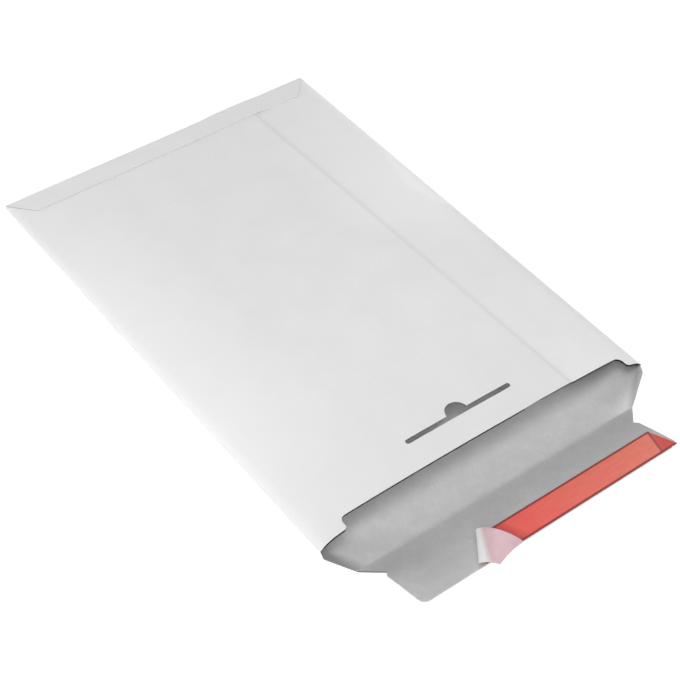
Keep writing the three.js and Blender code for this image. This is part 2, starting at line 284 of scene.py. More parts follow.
# Places worked out from the sizes and from the frame's hinge
HINGE = Vector(frame["joints"][0]["pos_m"]) / MM
MOUTH_Y = -BODY_LENGTH / 2
CLOSED_Y = BODY_LENGTH / 2
CREASE_Y = HINGE.y
FOLD_RADIUS = (BOARD + LAYER_GAP) / 2
SEAM_X = BODY_WIDTH / 2 - LAP_SHOWN
LAP_EDGE_X = SEAM_X - LAP_HIDDEN
LINER_RIGHT_X = EAR_WIDTH / 2 - LINER_END_INSET
FLAP_LENGTH = SLOPE_BAND + END_BAND
LINER_OUTER = FLAP_LENGTH - LINER_EDGE_INSET
LINER_MIDDLE = LINER_OUTER - LINER_WIDTH / 2
PEEL_X = LINER_RIGHT_X - PEEL_FROM_RIGHT_END
CUTTER_TOP = 2 * MOUTH_RISE


# Small helpers
def clamp(value):
    return max(0.0, min(1.0, value))


def lerp(a, b, share):
    return a + (b - a) * share


def smooth(share):
    share = clamp(share)
    return share * share * (3 - 2 * share)


def steps(first, last, count):
    return [lerp(first, last, i / count) for i in range(count + 1)]


# Shape of the pocket, as heights of the board's middle surface
def openness(y):
    return (CLOSED_Y - y) / BODY_LENGTH


def fold_at(y):
    """A side fold's middle, how far the front rises above it, and where the fold meets front and back."""
    open_share = openness(y)
    x = BODY_WIDTH / 2 - BOARD / 2 - FOLD_RADIUS - MOUTH_PULL_IN * open_share
    z = lerp(BOARD / 2 + FOLD_RADIUS, FOLD_RISE, open_share)
    front_rise = (MOUTH_RISE - FOLD_RISE - FOLD_RADIUS - BOARD / 2) * open_share
    back_rise = z - FOLD_RADIUS - BOARD / 2
    steepness = SHOULDER_SHARE * SHOULDER_POWER + (1 - SHOULDER_SHARE) * CROWN_POWER
    front_angle = math.pi / 2 - math.atan(front_rise * steepness / x)
    back_angle = math.pi / 2 - math.atan(back_rise * BACK_CURVE_POWER / BACK_CURVE_RUN)
    return x, z, front_rise, front_angle, back_angle


def front_start(y):
    x, z, _, front_angle, _ = fold_at(y)
    return x + FOLD_RADIUS * math.cos(front_angle), z + FOLD_RADIUS * math.sin(front_angle)


def back_end(y):
    x, z, _, _, back_angle = fold_at(y)
    return x + FOLD_RADIUS * math.cos(back_angle), z - FOLD_RADIUS * math.sin(back_angle)


def front_height(x, y):
    start_x, start_z = front_start(y)
    rest = clamp(abs(x) / start_x)
    shoulder = SHOULDER_SHARE * (1 - rest ** SHOULDER_POWER)
    crown = (1 - SHOULDER_SHARE) * (1 - rest ** CROWN_POWER)
    front_rise = fold_at(y)[2]
    return start_z + front_rise * (shoulder + crown)


def stepped_front_height(x, y):
    ramp = smooth((x - LAP_EDGE_X) / LAP_RAMP + 1)
    return front_height(x, y) + (BOARD + GLUE_LINE) * ramp


def back_height(x, y):
    end_x, end_z = back_end(y)
    rest = clamp(1 - (end_x - abs(x)) / BACK_CURVE_RUN)
    return BOARD / 2 + (end_z - BOARD / 2) * rest ** BACK_CURVE_POWER


def end_flap_height(x, y):
    on_panel = stepped_front_height(min(x, SEAM_X), y)
    down = smooth((x - SEAM_X - BOARD) / (LAP_RAMP - BOARD))
    return lerp(on_panel, front_height(x, y), down) + BOARD + GLUE_LINE


# Rows of points over the board, each point with its place on the flat blank
def back_places(y):
    end_x = back_end(y)[0]
    inner = end_x - BACK_CURVE_RUN
    curve = [lerp(end_x, inner, run ** BACK_CROWDING) for run in steps(0, 1, BACK_CURVE_STEPS)]
    middle = steps(inner, -inner, BACK_MIDDLE_STEPS)[1:-1]
    return [*curve, *middle, *[-x for x in reversed(curve)]]


def back_row(y):
    return [(x, y, back_height(x, y)) for x in back_places(y)]


def fold_row(y, side):
    x, z, _, front_angle, back_angle = fold_at(y)
    angles = steps(-back_angle, front_angle, FOLD_STEPS)[1:-1]
    return [(side * (x + FOLD_RADIUS * math.cos(a)), y, z + FOLD_RADIUS * math.sin(a)) for a in angles]


def lap_row(y):
    start_x = front_start(y)[0]
    places = [lerp(start_x, LAP_EDGE_X, run ** LAP_CROWDING) for run in steps(0, 1, LAP_STEPS)]
    return [(x, y, front_height(x, y)) for x in reversed(places)]


def front_row(y):
    start_x = -front_start(y)[0]
    ramp_x = LAP_EDGE_X - LAP_RAMP
    places = [lerp(start_x, ramp_x, run ** FRONT_CROWDING) for run in steps(0, 1, FRONT_STEPS)]
    places += steps(ramp_x, LAP_EDGE_X, SEAM_STEPS)[1:]
    places += steps(LAP_EDGE_X, SEAM_X, SEAM_STEPS)[1:]
    return [(x, y, stepped_front_height(x, y)) for x in places]


def across_blank(row):
    """How far each point of a row lies from the back panel's middle, along the board."""
    points = np.array(row)
    along = np.concatenate([[0], np.cumsum(np.linalg.norm(np.diff(points, axis=0), axis=1))])
    middle = int(np.argmin(np.abs(points[:, 0]) + FAR * (points[:, 2] > BOARD)))
    return list(along - along[middle])


def body_patch():
    rows = []
    blank = []
    cut_y = MOUTH_Y + MOUTH_CUT
    places = steps(MOUTH_Y, cut_y - EDGE_LIP_RUN, TAB_STEPS)
    places += steps(cut_y, cut_y + EDGE_LIP_RUN, LIP_STEPS)
    places += steps(cut_y + EDGE_LIP_RUN, CLOSED_Y, LENGTH_STEPS)[1:]
    for y in places:
        row = lap_row(y) + fold_row(y, 1)[::-1] + back_row(y) + fold_row(y, -1) + front_row(y)
        rows.append(row)
        blank.append([(-across, y) for across in across_blank(row)])
    return rows, blank


def end_flap_patch():
    places = back_places(CLOSED_Y)
    half = places[0]
    core = half - END_MITRE - END_INSET

    def narrowed(x, inset):
        beyond = abs(x) - core
        if beyond <= 0:
            return x
        return math.copysign(core + beyond * (half - core - inset) / (half - core), x)

    rows = [back_row(CLOSED_Y)]
    blank = [[(x, CLOSED_Y) for x in places]]
    for angle in steps(-math.pi / 2, math.pi / 2, END_FOLD_STEPS)[1:]:
        row = []
        for x in places:
            radius = (end_flap_height(x, CLOSED_Y) - BOARD / 2) / 2
            z = BOARD / 2 + radius * (1 + math.sin(angle))
            row.append((x, CLOSED_Y + radius * math.cos(angle), z))
        rows.append(row)
        blank.append([(x, CLOSED_Y + FOLD_RADIUS * (angle + math.pi / 2)) for x in places])
    turned = CLOSED_Y + FOLD_RADIUS * math.pi
    for share in steps(0, 1, END_FLAP_STEPS)[1:]:
        y = CLOSED_Y - END_FLAP * share
        row = [narrowed(x, END_MITRE * share) for x in places]
        rows.append([(x, y, end_flap_height(x, y)) for x in row])
        blank.append([(x, turned + END_FLAP * share) for x in row])
    return rows, blank


def flap_half_width(distance):
    neck = NECK_WIDTH / 2
    ear = EAR_WIDTH / 2
    if distance <= NECK_DISTANCE:
        return lerp(CREASE_WIDTH / 2, neck, distance / NECK_DISTANCE)
    half = lerp(neck, ear, smooth((distance - NECK_DISTANCE) / EAR_RUN))
    corner = distance - (FLAP_LENGTH - FLAP_CORNER_RADIUS)
    if corner > 0:
        half -= FLAP_CORNER_RADIUS - math.sqrt(max(FLAP_CORNER_RADIUS ** 2 - corner ** 2, 0))
    return half


def turned_share(distance, softness):
    """How much of a soft crease's turn is made at a distance past the middle of the crease."""
    return smooth(distance / softness + 0.5)


def flap_angle(distance):
    first = SLOPE_LIFT * turned_share(distance, CREASE_SOFTNESS)
    second = (END_LIFT - SLOPE_LIFT) * turned_share(distance - SLOPE_BAND, END_CREASE_SOFTNESS)
    return first + second


def flap_distances():
    near = steps(-CREASE_RUN, CREASE_RUN, CREASE_STEPS)
    turns = steps(0, math.pi / 2, CORNER_STEPS)
    corner = [FLAP_LENGTH - FLAP_CORNER_RADIUS * (1 - math.sin(a)) for a in turns]
    places = near + [SLOPE_BAND + d for d in near]
    places += steps(CREASE_RUN, NECK_DISTANCE, NECK_STEPS)[1:]
    places += steps(NECK_DISTANCE, NECK_DISTANCE + EAR_RUN, NECK_STEPS)[1:]
    places += steps(SLOPE_BAND + CREASE_RUN, corner[0], BAND_STEPS)[1:-1]
    places += corner
    places += steps(-APRON, -CREASE_RUN, APRON_STEPS)[:-1]
    return sorted(set(round(d, DISTANCE_DECIMALS) for d in places))


def flap_line(distance):
    """How far out and up from the crease the board lies, at a distance along it from the crease."""
    start = -CREASE_SOFTNESS / 2
    if distance <= start:
        return distance, 0.0
    count = max(int((distance - start) / FLAP_LINE_STEP), 1)
    step = (distance - start) / count
    angles = [flap_angle(start + (i + 0.5) * step) for i in range(count)]
    out = start + step * sum(math.cos(a) for a in angles)
    up = step * sum(math.sin(a) for a in angles)
    return out, up


def twisted(x, out, up):
    """Turns a place on the flap about the hinge crease by the flap's slight twist."""
    turn = FLAP_TWIST * x / EAR_WIDTH
    return out * math.cos(turn) - up * math.sin(turn), up * math.cos(turn) + out * math.sin(turn)


def flap_patch():
    mouth_row = back_row(MOUTH_Y)
    half = mouth_row[0][0]
    across = [-a for a in across_blank(mouth_row)]
    rows = []
    blank = []
    for distance in reversed(flap_distances()):
        out, up = flap_line(distance)
        if distance >= 0:
            scale = flap_half_width(distance) / half
            row = []
            for x, _, _ in mouth_row:
                turned_out, turned_up = twisted(x * scale, out, up)
                row.append((x * scale, CREASE_Y - turned_out, BOARD / 2 + turned_up))
        else:
            run = -distance / APRON
            narrow = CREASE_WIDTH / 2 / half
            scale = lerp(narrow, 1, min(-distance / (APRON - APRON_STRAIGHT), 1))
            row = []
            for x, _, _ in mouth_row:
                mouth_z = back_height(x * scale / lerp(narrow, 1, run), MOUTH_Y)
                row.append((x * scale, CREASE_Y - out, lerp(BOARD / 2, mouth_z, run) + up))
        rows.append(row)
        blank.append([(a * scale, CREASE_Y - distance) for a in across])
    rows[-1] = mouth_row
    return rows, blank


# Meshes
def weld(patches):
    """Joins patches of points where they meet: the points, their blank places, and the faces between."""
    index = {}
    points = []
    places = []
    quads = []
    for rows, blank in patches:
        numbers = []
        for row, flat in zip(rows, blank):
            line = []
            for point, place in zip(row, flat):
                key = tuple(round(c, WELD_DECIMALS) for c in point)
                if key not in index:
                    index[key] = len(points)
                    points.append(point)
                    places.append(place)
                line.append(index[key])
            numbers.append(line)
        for lower, upper in zip(numbers, numbers[1:]):
            for j in range(len(lower) - 1):
                quad = [lower[j], lower[j + 1], upper[j + 1], upper[j]]
                corners = list(dict.fromkeys(quad))
                if len(corners) > 2:
                    quads.append(corners)
    return np.array(points), np.array(places), quads


def point_normals(points, quads):
    normals = np.zeros_like(points)
    for quad in quads:
        a, b, c, d = (points[quad[i]] for i in (0, 1, 2, -1))
        normal = np.cross(c - a, d - b) if len(quad) == 4 else np.cross(b - a, c - a)
        for corner in quad:
            normals[corner] += normal
    return normals / np.linalg.norm(normals, axis=1)[:, None]


def edge_lip(point):
    """How much thicker the panel's inner side is by its cut mouth edge, where one layer shows."""
    x, y, z = point
    doubled = LAP_EDGE_X - LAP_RAMP < x < SEAM_X + BOARD
    if z < FOLD_RISE + EDGE_LIP_ABOVE_FOLD or doubled:
        return 0.0
    return EDGE_LIP * (1 - smooth((y - MOUTH_Y - MOUTH_CUT) / EDGE_LIP_RUN))


def values_of(items, name, kind=float, width=1):
    """One property of all of a mesh's items, as an array."""
    values = np.zeros(width * len(items), dtype=kind)
    items.foreach_get(name, values)
    return values


def sheet_object(name, patches, thickness, materials, lip=None):
    """A closed sheet: its outside is the side the normals point to, and a lip thickens its inside."""
    points, places, quads = weld(patches)
    normals = point_normals(points, quads)
    count = len(points)
    below = np.full(count, thickness / 2)
    if lip:
        below += [lip(point) for point in points]
    vertices = np.concatenate([points + normals * thickness / 2, points - normals * below[:, None]])
    faces = [list(q) for q in quads]
    kinds = [OUTSIDE] * len(quads)
    faces += [[count + i for i in reversed(q)] for q in quads]
    kinds += [INSIDE] * len(quads)
    edges = set()
    for quad in quads:
        for a, b in zip(quad, quad[1:] + quad[:1]):
            edges.add((a, b))
    for a, b in sorted(edges):
        if (b, a) not in edges:
            faces.append([b, a, count + a, count + b])
            kinds.append(CUT_EDGE)
    mesh = bpy.data.meshes.new(name)
    mesh.from_pydata([tuple(v * MM) for v in vertices], [], faces)
    mesh.polygons.foreach_set("material_index", kinds)
    flat = np.concatenate([places, places]) * MM
    layer = mesh.uv_layers.new(name="blank")
    corners = values_of(mesh.loops, "vertex_index", np.int32)
    layer.data.foreach_set("uv", flat[corners].ravel())
    for material in materials:
        mesh.materials.append(material)
    piece = bpy.data.objects.new(name, mesh)
    bpy.context.scene.collection.objects.link(piece)
    return piece


def arc(centre_x, centre_y, radius, first, last, count=ARC_STEPS):
    turns = steps(first, last, count)
    return [(centre_x + radius * math.cos(a), centre_y + radius * math.sin(a)) for a in turns]


def mouth_outline():
    fold_x = fold_at(MOUTH_Y)[0]
    left_x = LEFT_TAB - fold_x
    right_x = fold_x - RIGHT_TAB
    front_y = MOUTH_Y - APRON / 2
    back_y = MOUTH_Y + MOUTH_CUT
    quarter = math.pi / 2
    outline = [(left_x - TAB_RADIUS, front_y), (right_x + TAB_RADIUS, front_y)]
    outline += arc(right_x + TAB_RADIUS, MOUTH_Y + TAB_RADIUS, TAB_RADIUS, -quarter, -2 * quarter)
    outline += arc(right_x - CUT_RADIUS, back_y - CUT_RADIUS, CUT_RADIUS, 0, quarter)
    outline += arc(left_x + CUT_RADIUS, back_y - CUT_RADIUS, CUT_RADIUS, quarter, 2 * quarter)
    outline += arc(left_x - TAB_RADIUS, MOUTH_Y + TAB_RADIUS, TAB_RADIUS, 0, -quarter)
    return outline


def slot_outline():
    radius = SLOT_WIDTH / 2
    y = MOUTH_Y + SLOT_FROM_MOUTH + radius
    half = SLOT_LENGTH / 2 - radius
    outline = arc(half, y, radius, -math.pi / 2, math.pi / 2)
    outline += arc(0, y + radius, NOTCH_RADIUS, 0, math.pi, NOTCH_STEPS)
    outline += arc(-half, y, radius, math.pi / 2, 1.5 * math.pi)
    return outline


def prism(outline, bottom, top, kind):
    """A plan outline as a solid between two heights, every face of one material."""
    count = len(outline)
    vertices = [(x * MM, y * MM, z * MM) for z in (bottom, top) for x, y in outline]
    faces = [list(range(count))[::-1], list(range(count, 2 * count))]
    for i in range(count):
        j = (i + 1) % count
        faces.append([i, j, count + j, count + i])
    mesh = bpy.data.meshes.new("cutter")
    mesh.from_pydata(vertices, [], faces)
    mesh.polygons.foreach_set("material_index", [kind] * len(faces))
    piece = bpy.data.objects.new("cutter", mesh)
    bpy.context.scene.collection.objects.link(piece)
    return piece


def cut(piece, cutters):
    for cutter in cutters:
        for material in piece.data.materials:
            cutter.data.materials.append(material)
        modifier = piece.modifiers.new("cut", "BOOLEAN")
        modifier.operation = "DIFFERENCE"
        modifier.solver = "EXACT"
        modifier.object = cutter
    bpy.context.view_layer.update()
    graph = bpy.context.evaluated_depsgraph_get()
    result = bpy.data.meshes.new_from_object(piece.evaluated_get(graph))
    piece.modifiers.clear()
    old = piece.data
    piece.data = result
    bpy.data.meshes.remove(old)
    for cutter in cutters:
        bpy.data.objects.remove(cutter)


def shade(piece):
    piece.data.polygons.foreach_set("use_smooth", [True] * len(piece.data.polygons))
    piece.data.set_sharp_from_angle(angle=SHARP_ANGLE)


# Materials
def add_node(tree, kind, inputs=None, **settings):
    """Adds a node with its settings; each input gets a value or a link from another node's output."""
    node = tree.nodes.new(kind)
    for name, value in settings.items():
        setattr(node, name, value)
    for name, value in (inputs or {}).items():
        if isinstance(value, bpy.types.NodeSocket):
            tree.links.new(value, node.inputs[name])
        else:
            node.inputs[name].default_value = value
    return node


def add_fade(tree, value, start, end, first, last):
    """Goes from first to last while a value goes from start to end."""
    inputs = {"Value": value, "From Min": start, "From Max": end, "To Min": first, "To Max": last}
    return add_node(tree, "ShaderNodeMapRange", inputs).outputs["Result"]


class Surface:
    """A material with one Principled shader, and short ways to add textures that lie on the flat blank."""

    def __init__(self, name, specular=PLAIN_SPECULAR):
        self.material = bpy.data.materials.new(name)
        self.material.use_nodes = True
        self.tree = self.material.node_tree
        self.shader = self.tree.nodes["Principled BSDF"]
        self.shader.inputs["Specular IOR Level"].default_value = specular
        self.blank = self.places("blank")

    def add(self, kind, inputs=None, **settings):
        return add_node(self.tree, kind, inputs, **settings)

    def places(self, layer):
        return self.add("ShaderNodeUVMap", uv_map=layer).outputs["UV"]

    def along(self, direction_x, direction_y, layer=None):
        """How far a place lies along a direction of the blank, or of another map, in millimetres."""
        place = self.places(layer) if layer else self.blank
        inputs = {0: place, 1: (direction_x / MM, direction_y / MM, 0)}
        return self.add("ShaderNodeVectorMath", inputs, operation="DOT_PRODUCT").outputs["Value"]

    def stretched(self, scale_x, scale_y):
        inputs = {"Vector": self.blank, "Scale": (scale_x, scale_y, 1)}
        return self.add("ShaderNodeMapping", inputs).outputs["Vector"]

    def noise(self, scale, detail=2.0, roughness=0.5, vector=None):
        inputs = {"Vector": vector or self.blank, "Scale": scale, "Detail": detail, "Roughness": roughness}
        return self.add("ShaderNodeTexNoise", inputs).outputs["Fac"]

    def fade(self, value, start, end, first=0, last=1):
        return add_fade(self.tree, value, start, end, first, last)

    def spread(self, noise, first=0, last=1):
        """Goes from first to last over the values that most of a noise has."""
        return self.fade(noise, NOISE_LOW, NOISE_HIGH, first, last)

    def maths(self, operation, first, second=0):
        return self.add("ShaderNodeMath", {0: first, 1: second}, operation=operation).outputs["Value"]

    def mix(self, factor, first, second):
        """Goes from one colour to another, each a plain colour or an earlier mix."""
        node = self.add("ShaderNodeMix", {"Factor": factor}, data_type="RGBA")
        colours = [s for s in node.inputs if s.type == "RGBA"]
        for socket, value in zip(colours, (first, second)):
            if isinstance(value, tuple):
                socket.default_value = (*value, 1)
            else:
                self.tree.links.new(value, socket)
        return [s for s in node.outputs if s.type == "RGBA"][0]

    def colour(self, output):
        self.tree.links.new(output, self.shader.inputs["Base Color"])

    def roughness(self, noise, least, most):
        self.tree.links.new(self.spread(noise, least, most), self.shader.inputs["Roughness"])

    def bump(self, height, strength, depth):
        node = self.add("ShaderNodeBump", {"Height": height, "Strength": strength, "Distance": depth * MM})
        self.tree.links.new(node.outputs["Normal"], self.shader.inputs["Normal"])

    def relief(self, coarse, fine, strength, depth):
        """Bumps of a coarse noise with a smaller share of a fine one."""
        larger = self.maths("MULTIPLY", coarse, COARSE_SHARE)
        smaller = self.maths("MULTIPLY", fine, 1 - COARSE_SHARE)
        self.bump(self.maths("ADD", larger, smaller), strength, depth)


def white_board_material():
    surface = Surface("white_coated_board", specular=0.1)
    clouds = surface.noise(scale=40, detail=3)
    formation = surface.noise(scale=420, detail=3)
    tooth = surface.noise(scale=2600)
    base = surface.mix(surface.spread(clouds), WHITE_CLOUD, WHITE_BOARD)
    fine = surface.mix(surface.fade(formation, start=0.35, end=0.65, last=0.25), base, WHITE_GRAIN)
    length = surface.along(0, 1)
    # Painted shade on the panel towards the mouth
    near_mouth = surface.fade(length, MOUTH_Y, MOUTH_Y + MOUTH_SHADE_RUN, first=0.3, last=0)
    panel_edge = -BODY_WIDTH / 2 - FOLD_HIGHLIGHT
    on_panel = surface.fade(surface.along(1, 0), panel_edge, panel_edge - SIDE_SHADE)
    mouth_shaded = surface.mix(surface.maths("MULTIPLY", near_mouth, on_panel), fine, WHITE_MOUTH_SHADE)
    # Painted highlight along the side folds, broad over the shoulders and strongest at the folds
    off_middle = surface.maths("ABSOLUTE", length)
    midway = surface.fade(off_middle, SHOULDER_HIGHLIGHT_EVEN, BODY_LENGTH / 2, first=0.65, last=0.15)
    from_fold = surface.along(0, 1, "edges")
    shoulder = surface.maths("MULTIPLY", midway, surface.fade(from_fold, 0, SHOULDER_HIGHLIGHT, first=1, last=0))
    fold_highlight = surface.maths("ADD", shoulder, surface.fade(from_fold, 0, FOLD_HIGHLIGHT, first=0.5, last=0))
    folded = surface.mix(fold_highlight, mouth_shaded, WHITE_FOLD_HIGHLIGHT)
    seam = surface.fade(surface.along(1, 0, "edges"), 0, SEAM_LINE, first=0.19, last=0)
    surface.colour(surface.mix(seam, folded, SEAM_SHADE))
    surface.roughness(formation, least=0.60, most=0.72)
    surface.relief(formation, tooth, strength=0.35, depth=0.05)
    return surface.material


def grey_board_material():
    surface = Surface("grey_recycled_board", specular=0.25)
    clouds = surface.noise(scale=90, detail=4)
    fibres = surface.noise(scale=700, detail=4, roughness=0.65, vector=surface.stretched(1.0, 0.35))
    tooth = surface.noise(scale=2200, detail=3, roughness=0.6)
    specks = surface.noise(scale=1300)
    base = surface.mix(surface.spread(clouds), GREY_CLOUD, GREY_BOARD)
    fibred = surface.mix(surface.fade(fibres, start=0.35, end=0.65, last=0.45), base, GREY_FIBRE)
    dark = surface.mix(surface.fade(specks, start=0.70, end=0.76, last=0.8), fibred, DARK_SPECK)
    light = surface.mix(surface.fade(specks, start=0.30, end=0.25, last=0.6), dark, LIGHT_SPECK)
    # Painted light on the grey inside, deeper in the pocket
    light_start = MOUTH_Y + INSIDE_LIGHT_START
    inside = surface.fade(surface.along(0, 1), light_start, light_start + INSIDE_LIGHT_RUN, last=0.5)
    lit = surface.mix(inside, light, GREY_PAINTED_LIGHT)
    # Painted shade by the inside's side edges and the mouth's corners
    shaded = surface.fade(surface.along(0, 1, "edges"), 0, SIDE_SHADE, first=0.8, last=0)
    surface.colour(surface.mix(shaded, lit, CORNER_SHADE))
    surface.roughness(fibres, least=0.78, most=0.92)
    surface.relief(fibres, tooth, strength=0.5, depth=0.08)
    return surface.material


def edge_material(name, colours, specular=PLAIN_SPECULAR):
    surface = Surface(name, specular)
    layers = surface.noise(scale=1800, detail=3)
    surface.colour(surface.mix(surface.spread(layers), *colours))
    surface.roughness(layers, least=0.85, most=0.95)
    surface.bump(layers, strength=0.5, depth=0.08)
    return surface.material


def past_peel(surface):
    """How far a place on the film lies beyond the slanted peel line, in millimetres."""
    start = PEEL_X * math.cos(PEEL_SLANT) + LINER_MIDDLE * math.sin(PEEL_SLANT)
    return surface.maths("ADD", surface.along(-math.cos(PEEL_SLANT), math.sin(PEEL_SLANT)), start)


def red_film_material():
    surface = Surface("red_liner_film", specular=0.35)
    clouds = surface.noise(scale=60, detail=3)
    fine = surface.noise(scale=900)
    streaks = surface.noise(scale=300, detail=3, roughness=0.6, vector=surface.stretched(0.3, 1.5))
    # Lighter towards the right end: print and a painted sheen
    print_and_sheen = surface.fade(surface.along(1, 0), PEEL_X, LINER_RIGHT_X)
    base = surface.mix(print_and_sheen, RED_FILM, RED_PRINT_AND_SHEEN)
    clouded = surface.mix(surface.fade(clouds, start=0.35, end=0.7, last=0.3), base, RED_CLOUD)
    streaked = surface.mix(surface.fade(streaks, start=0.4, end=0.7, last=0.3), clouded, RED_STREAK)
    # Painted shade on the film's end beyond its crease, and along the crease itself
    crease = LINER_RIGHT_X - END_CREASE + END_CREASE_SLANT * LINER_OUTER
    across_crease = surface.along(1, -END_CREASE_SLANT)
    end = surface.fade(across_crease, crease, crease + END_CREASE_RUN, last=0.75)
    end_shaded = surface.mix(end, streaked, RED_END_SHADE)
    from_mark = surface.maths("ABSOLUTE", surface.maths("SUBTRACT", across_crease, crease + END_MARK))
    mark = surface.fade(from_mark, END_MARK_CORE, END_MARK_EDGE, first=0.75, last=0)
    marked = surface.mix(mark, end_shaded, RED_CREASE_SHADE)
    # Painted shadow beside the curl
    by_curl = surface.along(1, CURL_SHADE_SLANT)
    curl_shade = surface.fade(by_curl, CURL_SHADE_X, CURL_SHADE_X + CURL_SHADE, first=0.5, last=0)
    shaded = surface.mix(curl_shade, marked, RED_RIM_AND_SHADOW)
    # Darker towards both long edges
    from_middle = surface.maths("ABSOLUTE", surface.maths("ADD", surface.along(0, 1), LINER_MIDDLE))
    half = LINER_WIDTH / 2
    rim = surface.fade(from_middle, half - RIM_START, half - RIM_FULL, last=0.95)
    rimmed = surface.mix(rim, shaded, RED_RIM_AND_SHADOW)
    # Painted shade on the peeled end's red face
    peeled = surface.fade(past_peel(surface), PEEL_SHADE_START, PEEL_SHADE_FULL)
    surface.colour(surface.mix(peeled, rimmed, PEELED_FRONT_SHADE))
    surface.roughness(fine, least=0.30, most=0.42)
    surface.bump(fine, strength=0.2, depth=0.03)
    return surface.material


def pale_film_material():
    surface = Surface("pale_liner_reverse")
    clouds = surface.noise(scale=110, detail=3)
    fine = surface.noise(scale=900)
    pink = surface.mix(surface.fade(clouds, start=0.4, end=0.7, last=0.5), PINK_FILM, PINK_CLOUD)
    # Painted highlight along the curl
    past_highlight = surface.fade(past_peel(surface), CURL_HIGHLIGHT_END, CURL_HIGHLIGHT_FADED)
    surface.colour(surface.mix(past_highlight, WHITE_CURL_HIGHLIGHT, pink))
    surface.roughness(fine, least=0.32, most=0.45)
    surface.bump(fine, strength=0.2, depth=0.03)
    return surface.material


def film_edge_material():
    surface = Surface("liner_film_edge")
    fine = surface.noise(scale=900)
    surface.colour(surface.mix(fine, *FILM_EDGE_COLOURS))
    surface.roughness(fine, least=0.35, most=0.5)
    return surface.material


def adhesive_material():
    surface = Surface("clear_adhesive")
    clouds = surface.noise(scale=150, detail=3)
    surface.colour(surface.mix(surface.spread(clouds), *ADHESIVE_COLOURS))
    surface.roughness(clouds, least=0.28, most=0.42)
    surface.bump(clouds, strength=0.3, depth=0.1)
    return surface.material


# The board: pocket, apron and flap as one folded piece
def add_edge_map(mesh):
    """A second map of the board: how far each place lies from the seam, and from the side folds or edges."""
    corners = values_of(mesh.loops, "vertex_index", np.int32)
    points = values_of(mesh.vertices, "co", width=3) / MM
    x = points[0::3][corners]
    y = points[1::3][corners]
    across = values_of(mesh.uv_layers["blank"].data, "uv", width=2)[0::2]
    front = np.abs(across) > BODY_WIDTH / 2 * MM
    kinds = values_of(mesh.polygons, "material_index", np.int32)
    inside = np.repeat(kinds, values_of(mesh.polygons, "loop_total", np.int32)) == INSIDE
    # The painted highlight by the right fold fades out towards the mouth and is widest at one place
    highlight_widening = RIGHT_HIGHLIGHT_WIDENING * np.clip(1 - np.abs(y - RIGHT_HIGHLIGHT_WIDEST_Y) / RIGHT_HIGHLIGHT_WIDENING_RUN, 0, 1)
    from_fold = BODY_WIDTH / 2 - np.abs(x) + np.where(x > 0, np.maximum(RIGHT_FADE - y, 0) - highlight_widening, 0)
    # The grey inside gets painted shade by its side edges, and more by the left corner of the mouth than by
    # the right
    out = (MOUTH_Y - y) / APRON
    side = np.interp(out, [0, 1], [BODY_WIDTH / 2, CREASE_WIDTH / 2]) - np.abs(x)
    beyond = np.maximum(out, 0)
    inset = np.where(x > 0, RIGHT_SHADE_INSET + RIGHT_SHADE_TAPER * beyond, LEFT_SHADE_TAPER * beyond)
    from_side = np.maximum(side, 0) + inset
    edges = np.zeros(2 * len(mesh.loops))
    edges[0::2] = np.where(front & (x > 0), np.abs(x - SEAM_X), FAR)
    edges[1::2] = np.where(inside & (out < 1), from_side, np.where(front & ~inside, from_fold, FAR))
    mesh.uv_layers.new(name="edges").data.foreach_set("uv", edges * MM)


def darken_edges(mesh):
    """Gives the tabs and the flap's narrowing sides the mouth edge's painted shade, and the end flap its
    grey edge.
    """
    for face in mesh.polygons:
        if face.material_index != CUT_EDGE:
            continue
        y = face.center.y / MM
        on_tab = abs(y - MOUTH_Y) < BOARD and face.center.z > FOLD_RISE * MM
        on_side = CREASE_Y - NECK_DISTANCE < y < MOUTH_Y
        if on_tab or on_side:
            face.material_index = MOUTH_EDGE
        elif y > CLOSED_Y - END_FLAP - BOARD:
            face.material_index = END_EDGE


def make_board():
    materials = [
        white_board_material(),
        grey_board_material(),
        edge_material("board_cut_edge", CUT_EDGE_COLOURS),
        # Slot and mouth edges near black: painted shade
        edge_material("board_slot_edge_shade", SLOT_EDGE_SHADE_COLOURS, CORE_SPECULAR),
        edge_material("board_mouth_edge_shade", MOUTH_EDGE_SHADE_COLOURS, CORE_SPECULAR),
        edge_material("board_end_edge", END_EDGE_COLOURS, CORE_SPECULAR),
    ]
    board = sheet_object("board", [body_patch(), end_flap_patch(), flap_patch()], BOARD, materials, edge_lip)
    darken_edges(board.data)
    cutters = [
        prism(mouth_outline(), FOLD_RISE + BOARD, CUTTER_TOP, MOUTH_EDGE),
        prism(slot_outline(), MOUTH_RISE / 2, CUTTER_TOP, SLOT_EDGE),
    ]
    cut(board, cutters)
    add_edge_map(board.data)
    shade(board)
    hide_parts("board_pocket", "closing_flap")
    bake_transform(board)


# Adhesive strip and liner, placed on the flap by how far out along the board and how far off it they are
def on_flap(x, distance, off):
    outer = distance - SLOPE_BAND
    out = SLOPE_BAND * math.cos(SLOPE_LIFT) + outer * math.cos(END_LIFT) - off * math.sin(END_LIFT)
    up = SLOPE_BAND * math.sin(SLOPE_LIFT) + outer * math.sin(END_LIFT) + off * math.cos(END_LIFT)
    turned_out, turned_up = twisted(x, out, up)
    return (x, HINGE.y - turned_out, HINGE.z + turned_up)


def across_film(distance, outer, inner):
    return lerp(outer, inner, (LINER_OUTER - distance) / LINER_WIDTH)


